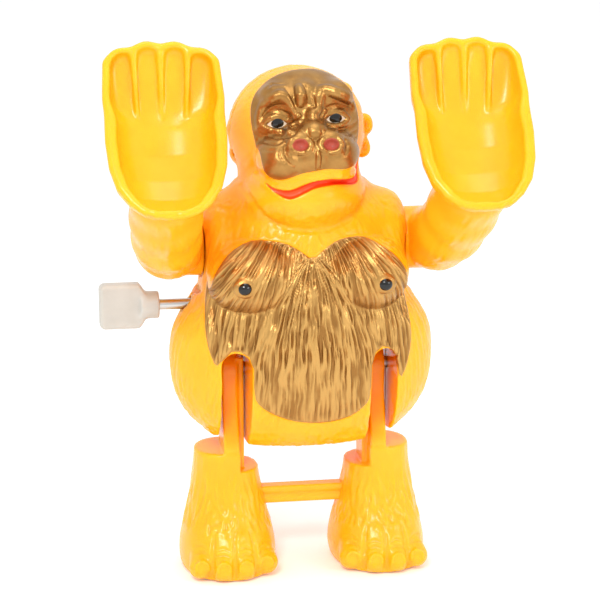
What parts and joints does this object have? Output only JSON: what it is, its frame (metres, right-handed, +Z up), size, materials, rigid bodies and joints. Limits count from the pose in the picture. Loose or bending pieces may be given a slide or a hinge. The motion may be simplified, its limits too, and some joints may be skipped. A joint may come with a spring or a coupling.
{
  "type": "wind-up gorilla toy",
  "caption": "Small wind-up gorilla with a hollow two-shell body, raised scoop-shaped hands on turning arms, kicking feet on a hip axle and a side winding knob.",
  "frame": {"origin": "on the ground under the middle of the bounding box", "axes": "+Z up, the face looks along -Y, the winding knob sticks out along -X"},
  "size_m": [0.075, 0.0471, 0.1],
  "materials": {
    "yellow_plastic": "moulded translucent yellow, soft sheen",
    "knob_plastic": "milky white, soft sheen",
    "nylon": "natural white moulded",
    "steel": "drawn bright",
    "spring_steel": "blued",
    "zinc_screw": "zinc plated",
    "brass": "turned"
  },
  "bodies": {
    "body": {"front_shell": "yellow_plastic", "rear_shell": "yellow_plastic", "body_screws": "zinc_screw", "motor_frame": "nylon", "motor_cover": "nylon", "motor_screws": "zinc_screw", "mainspring": "spring_steel", "kick_spring": "spring_steel"},
    "right_arm": {"right_arm": "yellow_plastic", "right_shoulder_peg": "yellow_plastic"},
    "left_arm": {"left_arm": "yellow_plastic", "left_shoulder_peg": "yellow_plastic"},
    "legs": {"right_leg": "yellow_plastic", "left_leg": "yellow_plastic", "ankle_bar": "yellow_plastic", "hip_axle": "steel", "kick_lever": "nylon"},
    "winder": {"winding_knob": "knob_plastic", "winding_shaft": "steel", "spring_arbor": "steel", "main_gear": "nylon", "ratchet_disc": "nylon"},
    "cam": {"cam_shaft": "steel", "cam_pinion": "nylon", "cam_wheel": "nylon", "kick_cam": "nylon"},
    "governor": {"governor_axle": "steel", "governor_pinion": "nylon", "flywheel": "brass"}
  },
  "joints": [
    {"name": "hip_swing", "type": "hinge", "parent": "body", "child": "legs", "pos_m": [0, 0.0094, 0.038], "axis": [1, 0, 0], "range_deg": [0, 50], "stiffness_Nm_per_rad": 0.02, "springref_deg": -34.38},
    {"name": "right_shoulder", "type": "hinge", "parent": "body", "child": "right_arm", "pos_m": [0.0185, 0.0094, 0.062], "axis": [1, 0, 0], "range_deg": [-160, 68]},
    {"name": "left_shoulder", "type": "hinge", "parent": "body", "child": "left_arm", "pos_m": [-0.0185, 0.0094, 0.062], "axis": [1, 0, 0], "range_deg": [-160, 35]},
    {"name": "winding_turn", "type": "hinge", "parent": "body", "child": "winder", "pos_m": [0, 0.0094, 0.0507], "axis": [1, 0, 0], "continuous": true},
    {"name": "cam_turn", "type": "hinge", "parent": "body", "child": "cam", "pos_m": [0, 0.0151, 0.0444], "axis": [1, 0, 0], "continuous": true},
    {"name": "governor_turn", "type": "hinge", "parent": "body", "child": "governor", "pos_m": [0, 0.0169, 0.03765], "axis": [1, 0, 0], "continuous": true}
  ],
  "couplings": [
    {"joint": "cam_turn", "follows": "winding_turn", "ratio": -2.4},
    {"joint": "governor_turn", "follows": "winding_turn", "ratio": 6}
  ]
}
